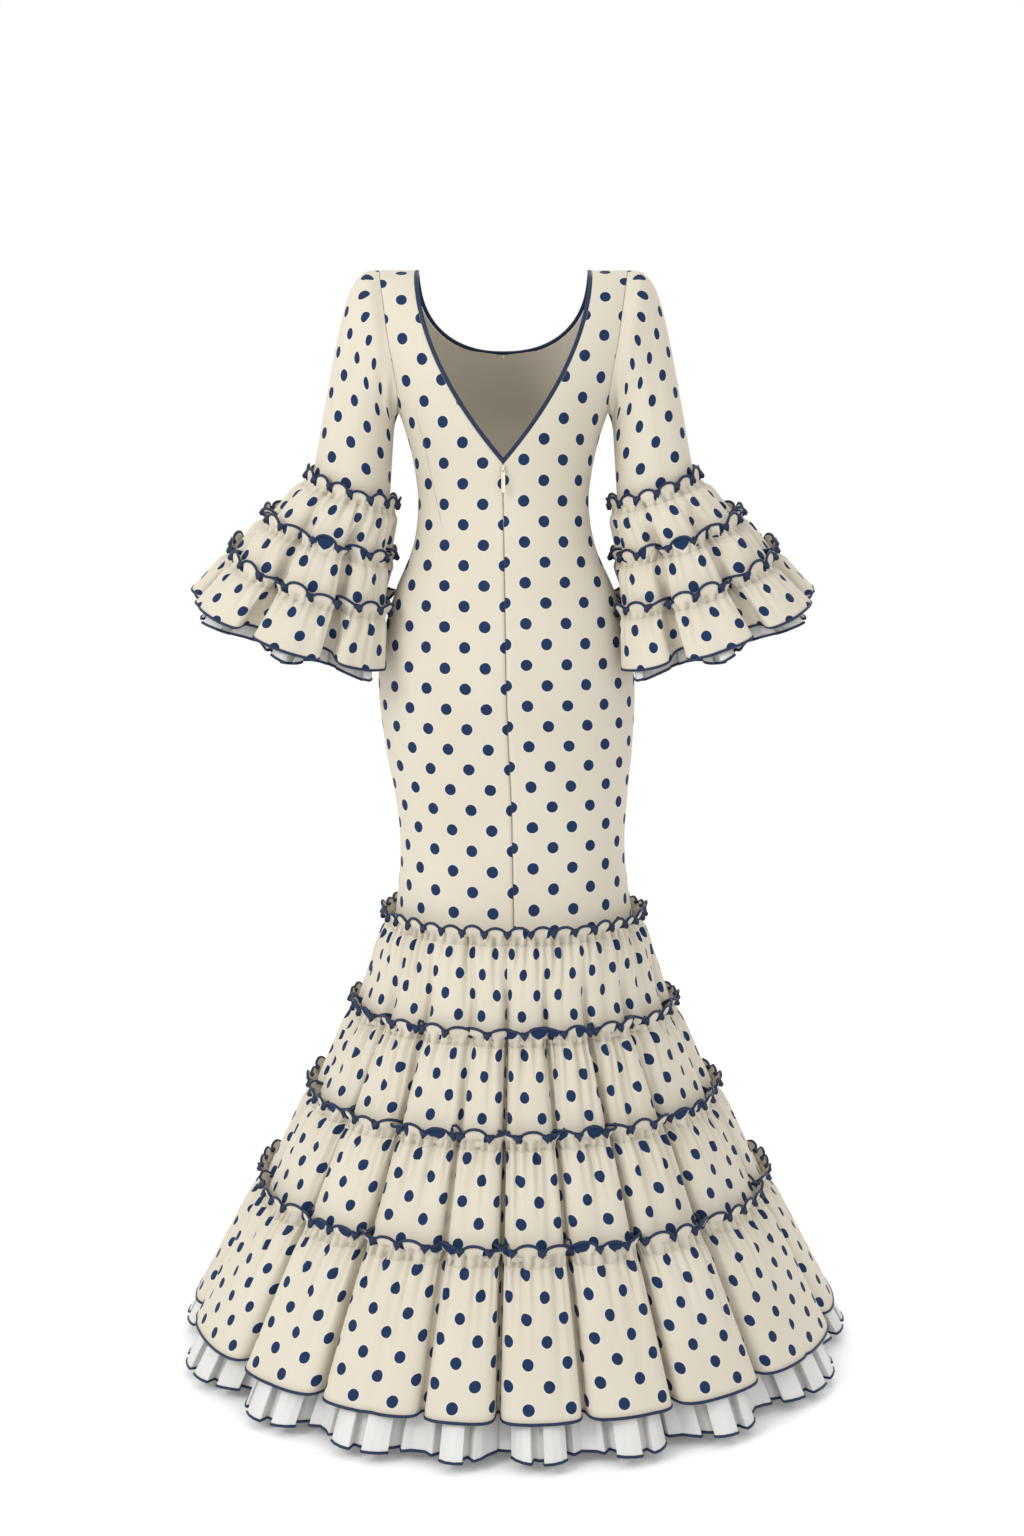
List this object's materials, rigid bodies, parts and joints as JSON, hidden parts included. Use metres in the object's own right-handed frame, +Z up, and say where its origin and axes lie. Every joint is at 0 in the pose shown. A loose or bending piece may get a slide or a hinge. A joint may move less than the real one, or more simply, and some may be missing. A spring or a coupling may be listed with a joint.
{
  "type": "flamenco dress, worn form with no wearer",
  "caption": "Long fitted dress with a deep V back, gathered tiers from the knee over a pleated under-ruffle, and elbow sleeves with gathered flounces.",
  "frame": {"origin": "midway between the two shoulder seams, level with their neck ends, where the dress hangs on its wearer", "axes": "+Z up, -Y the way the wearer faces, +X towards the wearer's left hand"},
  "size_m": [0.918, 0.9173, 1.4554],
  "materials": {
    "dotted_crepe": "matt cream stretch crepe with navy dots about 15 mm across in a staggered square repeat of 54 mm",
    "navy_edging": "satin navy bias binding and ruffle edging",
    "white_organza": "crisp, slightly see-through white organza",
    "zip_enamel": "cream enamel on a metal zip slider and pull"
  },
  "bodies": {
    "dress": {"back_left": "dotted_crepe", "back_right": "dotted_crepe", "front": "dotted_crepe", "neck_binding": "navy_edging", "zip_tape": "dotted_crepe", "zip_slider": "zip_enamel", "sleeve_left": "dotted_crepe", "sleeve_right": "dotted_crepe", "flounce_1_left": "dotted_crepe", "flounce_1_right": "dotted_crepe", "flounce_1_heading_edge_left": "navy_edging", "flounce_1_heading_edge_right": "navy_edging", "flounce_2_left": "dotted_crepe", "flounce_2_right": "dotted_crepe", "flounce_2_heading_edge_left": "navy_edging", "flounce_2_heading_edge_right": "navy_edging", "flounce_3_left": "dotted_crepe", "flounce_3_right": "dotted_crepe", "flounce_3_heading_edge_left": "navy_edging", "flounce_3_heading_edge_right": "navy_edging", "flounce_hem_edge_left": "navy_edging", "flounce_hem_edge_right": "navy_edging", "sleeve_under_ruffle_left": "white_organza", "sleeve_under_ruffle_right": "white_organza", "sleeve_under_edge_left": "navy_edging", "sleeve_under_edge_right": "navy_edging", "tier_1": "dotted_crepe", "tier_1_heading_edge": "navy_edging", "tier_2": "dotted_crepe", "tier_2_heading_edge": "navy_edging", "tier_3": "dotted_crepe", "tier_3_heading_edge": "navy_edging", "tier_4": "dotted_crepe", "tier_4_heading_edge": "navy_edging", "tier_hem_edge": "navy_edging", "under_ruffle": "white_organza", "under_ruffle_edge": "navy_edging"},
    "zip_pull": {"zip_pull": "zip_enamel"}
  },
  "joints": [
    {"name": "pull_swing", "type": "hinge", "parent": "dress", "child": "zip_pull", "pos_m": [0, 0.08291, -0.26337], "axis": [1, 0, 0], "range_deg": [0, 160]}
  ]
}
